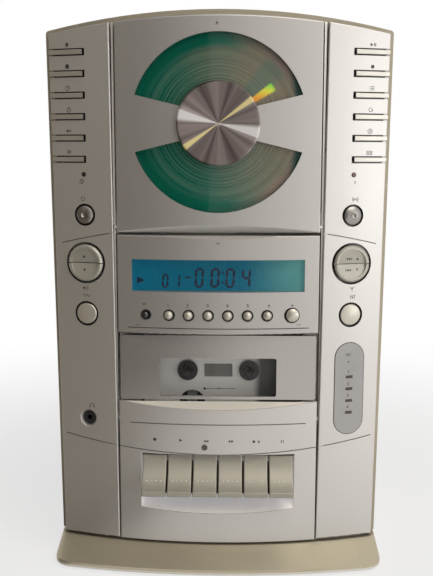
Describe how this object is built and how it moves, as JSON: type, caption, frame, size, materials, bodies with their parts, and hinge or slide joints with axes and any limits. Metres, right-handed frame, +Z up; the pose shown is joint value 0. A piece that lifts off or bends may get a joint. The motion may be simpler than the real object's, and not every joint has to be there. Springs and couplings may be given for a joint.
{
  "type": "cassette and cd player",
  "caption": "Upright tower hi-fi player with a bowed silver front, a CD door with a green window, a cassette deck with piano keys and side control columns.",
  "frame": {"origin": "centre of the footprint, on the plane the feet stand on", "axes": "+Z up, +Y towards the back, +X to the right seen from the front"},
  "size_m": [0.2296, 0.19, 0.3768],
  "materials": {
    "silver_plastic": "fine metallic satin paint",
    "champagne_plastic": "satin metallic paint",
    "black_plastic": "satin",
    "key_plastic": "satin metallic paint",
    "button_plastic": "satin",
    "grey_plastic": "satin",
    "foot_rubber": "matte",
    "green_window": "clear tinted",
    "clear_window": "clear",
    "smoke_window": "gloss",
    "lamp_lens": "gloss",
    "hub_metal": "spun",
    "disc_plastic": "mirror-backed",
    "lcd_glass": "gloss",
    "deck_metal": "satin",
    "steel": "ground",
    "brass": "turned",
    "board": "satin"
  },
  "bodies": {
    "player": {"base_stand": "champagne_plastic", "rubber_feet": "foot_rubber", "rear_cabinet": "champagne_plastic", "front_chassis": "grey_plastic", "left_wing": "silver_plastic", "right_wing": "silver_plastic", "equalizer_window": "smoke_window", "headphone_jack": "black_plastic", "indicator_leds": "lamp_lens", "display_panel": "silver_plastic", "lcd_display": "lcd_glass", "tape_deck_plate": "deck_metal", "key_panel": "silver_plastic", "key_pivot_rod": "steel", "main_circuit_board": "board", "power_transformer": "steel", "rear_jack_panel": "black_plastic"},
    "disc_lid": {"cd_door": "silver_plastic", "cd_door_window": "green_window", "hub_cap": "hub_metal"},
    "tape_lid": {"cassette_door": "silver_plastic", "cassette_window": "clear_window"},
    "disc_table": {"compact_disc": "disc_plastic", "turntable": "black_plastic"},
    "pickup_sled": {"optical_pickup": "black_plastic"},
    "supply_reel": {"supply_spindle": "black_plastic"},
    "take_up_reel": {"take_up_spindle": "black_plastic"},
    "capstan": {"capstan_flywheel": "brass"},
    "heads": {"head_bridge": "steel"},
    "record_key_lever": {"record_key": "key_plastic"},
    "play_key_lever": {"play_key": "key_plastic"},
    "rewind_key_lever": {"rewind_key": "key_plastic"},
    "fast_forward_key_lever": {"fast_forward_key": "key_plastic"},
    "stop_eject_key_lever": {"stop_eject_key": "key_plastic"},
    "pause_key_lever": {"pause_key": "key_plastic"},
    "disc_play_key_cap": {"disc_play_key": "key_plastic"},
    "disc_stop_key_cap": {"disc_stop_key": "key_plastic"},
    "program_key_cap": {"program_key": "key_plastic"},
    "repeat_key_cap": {"repeat_key": "key_plastic"},
    "disc_source_key_cap": {"disc_source_key": "key_plastic"},
    "tape_source_key_cap": {"tape_source_key": "key_plastic"},
    "surround_button_cap": {"surround_button": "button_plastic"},
    "equalizer_button_cap": {"equalizer_button": "button_plastic"},
    "snooze_key_cap": {"snooze_key": "key_plastic"},
    "sleep_key_cap": {"sleep_key": "key_plastic"},
    "clock_key_cap": {"clock_key": "key_plastic"},
    "timer_key_cap": {"timer_key": "key_plastic"},
    "mute_key_cap": {"mute_key": "key_plastic"},
    "backlight_key_cap": {"backlight_key": "key_plastic"},
    "power_button_cap": {"power_button": "button_plastic"},
    "band_button_cap": {"band_button": "button_plastic"},
    "preset_button_1_cap": {"preset_button_1": "button_plastic"},
    "preset_button_2_cap": {"preset_button_2": "button_plastic"},
    "preset_button_3_cap": {"preset_button_3": "button_plastic"},
    "preset_button_4_cap": {"preset_button_4": "button_plastic"},
    "preset_button_5_cap": {"preset_button_5": "button_plastic"},
    "preset_button_6_cap": {"preset_button_6": "button_plastic"},
    "memory_button_cap": {"memory_button": "button_plastic"},
    "volume_rocker_cap": {"volume_rocker": "button_plastic"},
    "tuning_rocker_cap": {"tuning_rocker": "button_plastic"}
  },
  "joints": [
    {"name": "disc_door_hinge", "type": "hinge", "parent": "player", "child": "disc_lid", "pos_m": [0, -0.067, 0.2346], "axis": [1, 0, 0], "range_deg": [0, 35]},
    {"name": "cassette_door_hinge", "type": "hinge", "parent": "player", "child": "tape_lid", "pos_m": [0, -0.065, 0.103], "axis": [1, 0, 0], "range_deg": [0, 28]},
    {"name": "disc_spin", "type": "hinge", "parent": "player", "child": "disc_table", "pos_m": [0, -0.063, 0.302], "axis": [0, 1, 0], "continuous": true},
    {"name": "pickup_slide", "type": "slide", "parent": "player", "child": "pickup_sled", "axis": [1, 0, 0], "range_m": [0, 0.032]},
    {"name": "supply_reel_spin", "type": "hinge", "parent": "player", "child": "supply_reel", "pos_m": [-0.02125, -0.0525, 0.1342], "axis": [0, 1, 0], "continuous": true},
    {"name": "take_up_reel_spin", "type": "hinge", "parent": "player", "child": "take_up_reel", "pos_m": [0.02125, -0.0525, 0.1342], "axis": [0, 1, 0], "continuous": true},
    {"name": "capstan_spin", "type": "hinge", "parent": "player", "child": "capstan", "pos_m": [-0.0182, -0.0525, 0.111], "axis": [0, 1, 0], "continuous": true},
    {"name": "head_lift", "type": "slide", "parent": "player", "child": "heads", "axis": [0, 0, 1], "range_m": [0, 0.006], "stiffness_N_per_m": 80},
    {"name": "record_key_press", "type": "hinge", "parent": "player", "child": "record_key_lever", "pos_m": [0, -0.064, 0.0756], "axis": [1, 0, 0], "range_deg": [0, 12], "stiffness_Nm_per_rad": 0.25},
    {"name": "play_key_press", "type": "hinge", "parent": "player", "child": "play_key_lever", "pos_m": [0, -0.064, 0.0756], "axis": [1, 0, 0], "range_deg": [0, 12]},
    {"name": "rewind_key_press", "type": "hinge", "parent": "player", "child": "rewind_key_lever", "pos_m": [0, -0.064, 0.0756], "axis": [1, 0, 0], "range_deg": [0, 12], "stiffness_Nm_per_rad": 0.25},
    {"name": "fast_forward_key_press", "type": "hinge", "parent": "player", "child": "fast_forward_key_lever", "pos_m": [0, -0.064, 0.0756], "axis": [1, 0, 0], "range_deg": [0, 12], "stiffness_Nm_per_rad": 0.25},
    {"name": "stop_eject_key_press", "type": "hinge", "parent": "player", "child": "stop_eject_key_lever", "pos_m": [0, -0.064, 0.0756], "axis": [1, 0, 0], "range_deg": [0, 12], "stiffness_Nm_per_rad": 0.25},
    {"name": "pause_key_press", "type": "hinge", "parent": "player", "child": "pause_key_lever", "pos_m": [0, -0.064, 0.0756], "axis": [1, 0, 0], "range_deg": [0, 12], "stiffness_Nm_per_rad": 0.25},
    {"name": "disc_play_key_press", "type": "slide", "parent": "player", "child": "disc_play_key_cap", "axis": [-0.2663, 0.9639, 0], "range_m": [0, 0.0012], "stiffness_N_per_m": 300},
    {"name": "disc_stop_key_press", "type": "slide", "parent": "player", "child": "disc_stop_key_cap", "axis": [-0.2663, 0.9639, 0], "range_m": [0, 0.0012], "stiffness_N_per_m": 300},
    {"name": "program_key_press", "type": "slide", "parent": "player", "child": "program_key_cap", "axis": [-0.2663, 0.9639, 0], "range_m": [0, 0.0012], "stiffness_N_per_m": 300},
    {"name": "repeat_key_press", "type": "slide", "parent": "player", "child": "repeat_key_cap", "axis": [-0.2663, 0.9639, 0], "range_m": [0, 0.0012], "stiffness_N_per_m": 300},
    {"name": "disc_source_key_press", "type": "slide", "parent": "player", "child": "disc_source_key_cap", "axis": [-0.2663, 0.9639, 0], "range_m": [0, 0.0012], "stiffness_N_per_m": 300},
    {"name": "tape_source_key_press", "type": "slide", "parent": "player", "child": "tape_source_key_cap", "axis": [-0.2663, 0.9639, 0], "range_m": [0, 0.0012], "stiffness_N_per_m": 300},
    {"name": "surround_button_press", "type": "slide", "parent": "player", "child": "surround_button_cap", "axis": [-0.2663, 0.9639, 0], "range_m": [0, 0.0012], "stiffness_N_per_m": 300},
    {"name": "equalizer_button_press", "type": "slide", "parent": "player", "child": "equalizer_button_cap", "axis": [-0.2663, 0.9639, 0], "range_m": [0, 0.0012], "stiffness_N_per_m": 300},
    {"name": "snooze_key_press", "type": "slide", "parent": "player", "child": "snooze_key_cap", "axis": [0.2663, 0.9639, 0], "range_m": [0, 0.0012], "stiffness_N_per_m": 300},
    {"name": "sleep_key_press", "type": "slide", "parent": "player", "child": "sleep_key_cap", "axis": [0.2663, 0.9639, 0], "range_m": [0, 0.0012], "stiffness_N_per_m": 300},
    {"name": "clock_key_press", "type": "slide", "parent": "player", "child": "clock_key_cap", "axis": [0.2663, 0.9639, 0], "range_m": [0, 0.0012], "stiffness_N_per_m": 300},
    {"name": "timer_key_press", "type": "slide", "parent": "player", "child": "timer_key_cap", "axis": [0.2663, 0.9639, 0], "range_m": [0, 0.0012], "stiffness_N_per_m": 300},
    {"name": "mute_key_press", "type": "slide", "parent": "player", "child": "mute_key_cap", "axis": [0.2663, 0.9639, 0], "range_m": [0, 0.0012], "stiffness_N_per_m": 300},
    {"name": "backlight_key_press", "type": "slide", "parent": "player", "child": "backlight_key_cap", "axis": [0.2663, 0.9639, 0], "range_m": [0, 0.0012], "stiffness_N_per_m": 300},
    {"name": "power_button_press", "type": "slide", "parent": "player", "child": "power_button_cap", "axis": [0.2663, 0.9639, 0], "range_m": [0, 0.0012], "stiffness_N_per_m": 300},
    {"name": "band_button_press", "type": "slide", "parent": "player", "child": "band_button_cap", "axis": [0.2663, 0.9639, 0], "range_m": [0, 0.0012], "stiffness_N_per_m": 300},
    {"name": "preset_button_1_press", "type": "slide", "parent": "player", "child": "preset_button_1_cap", "axis": [0, 1, 0], "range_m": [0, 0.0012], "stiffness_N_per_m": 300},
    {"name": "preset_button_2_press", "type": "slide", "parent": "player", "child": "preset_button_2_cap", "axis": [0, 1, 0], "range_m": [0, 0.0012], "stiffness_N_per_m": 300},
    {"name": "preset_button_3_press", "type": "slide", "parent": "player", "child": "preset_button_3_cap", "axis": [0, 1, 0], "range_m": [0, 0.0012], "stiffness_N_per_m": 300},
    {"name": "preset_button_4_press", "type": "slide", "parent": "player", "child": "preset_button_4_cap", "axis": [0, 1, 0], "range_m": [0, 0.0012], "stiffness_N_per_m": 300},
    {"name": "preset_button_5_press", "type": "slide", "parent": "player", "child": "preset_button_5_cap", "axis": [0, 1, 0], "range_m": [0, 0.0012], "stiffness_N_per_m": 300},
    {"name": "preset_button_6_press", "type": "slide", "parent": "player", "child": "preset_button_6_cap", "axis": [0, 1, 0], "range_m": [0, 0.0012], "stiffness_N_per_m": 300},
    {"name": "memory_button_press", "type": "slide", "parent": "player", "child": "memory_button_cap", "axis": [0, 1, 0], "range_m": [0, 0.0012], "stiffness_N_per_m": 300},
    {"name": "volume_rocker_tilt", "type": "hinge", "parent": "player", "child": "volume_rocker_cap", "pos_m": [-0.08797, -0.06047, 0.2101], "axis": [0.9639, -0.2663, 0], "range_deg": [-4, 4], "stiffness_Nm_per_rad": 0.08},
    {"name": "tuning_rocker_tilt", "type": "hinge", "parent": "player", "child": "tuning_rocker_cap", "pos_m": [0.08797, -0.06047, 0.2101], "axis": [0.9639, 0.2663, 0], "range_deg": [-4, 4], "stiffness_Nm_per_rad": 0.08}
  ],
  "couplings": [
    {"joint": "play_key_press", "follows": "head_lift", "rad_per_m": 34.906}
  ]
}
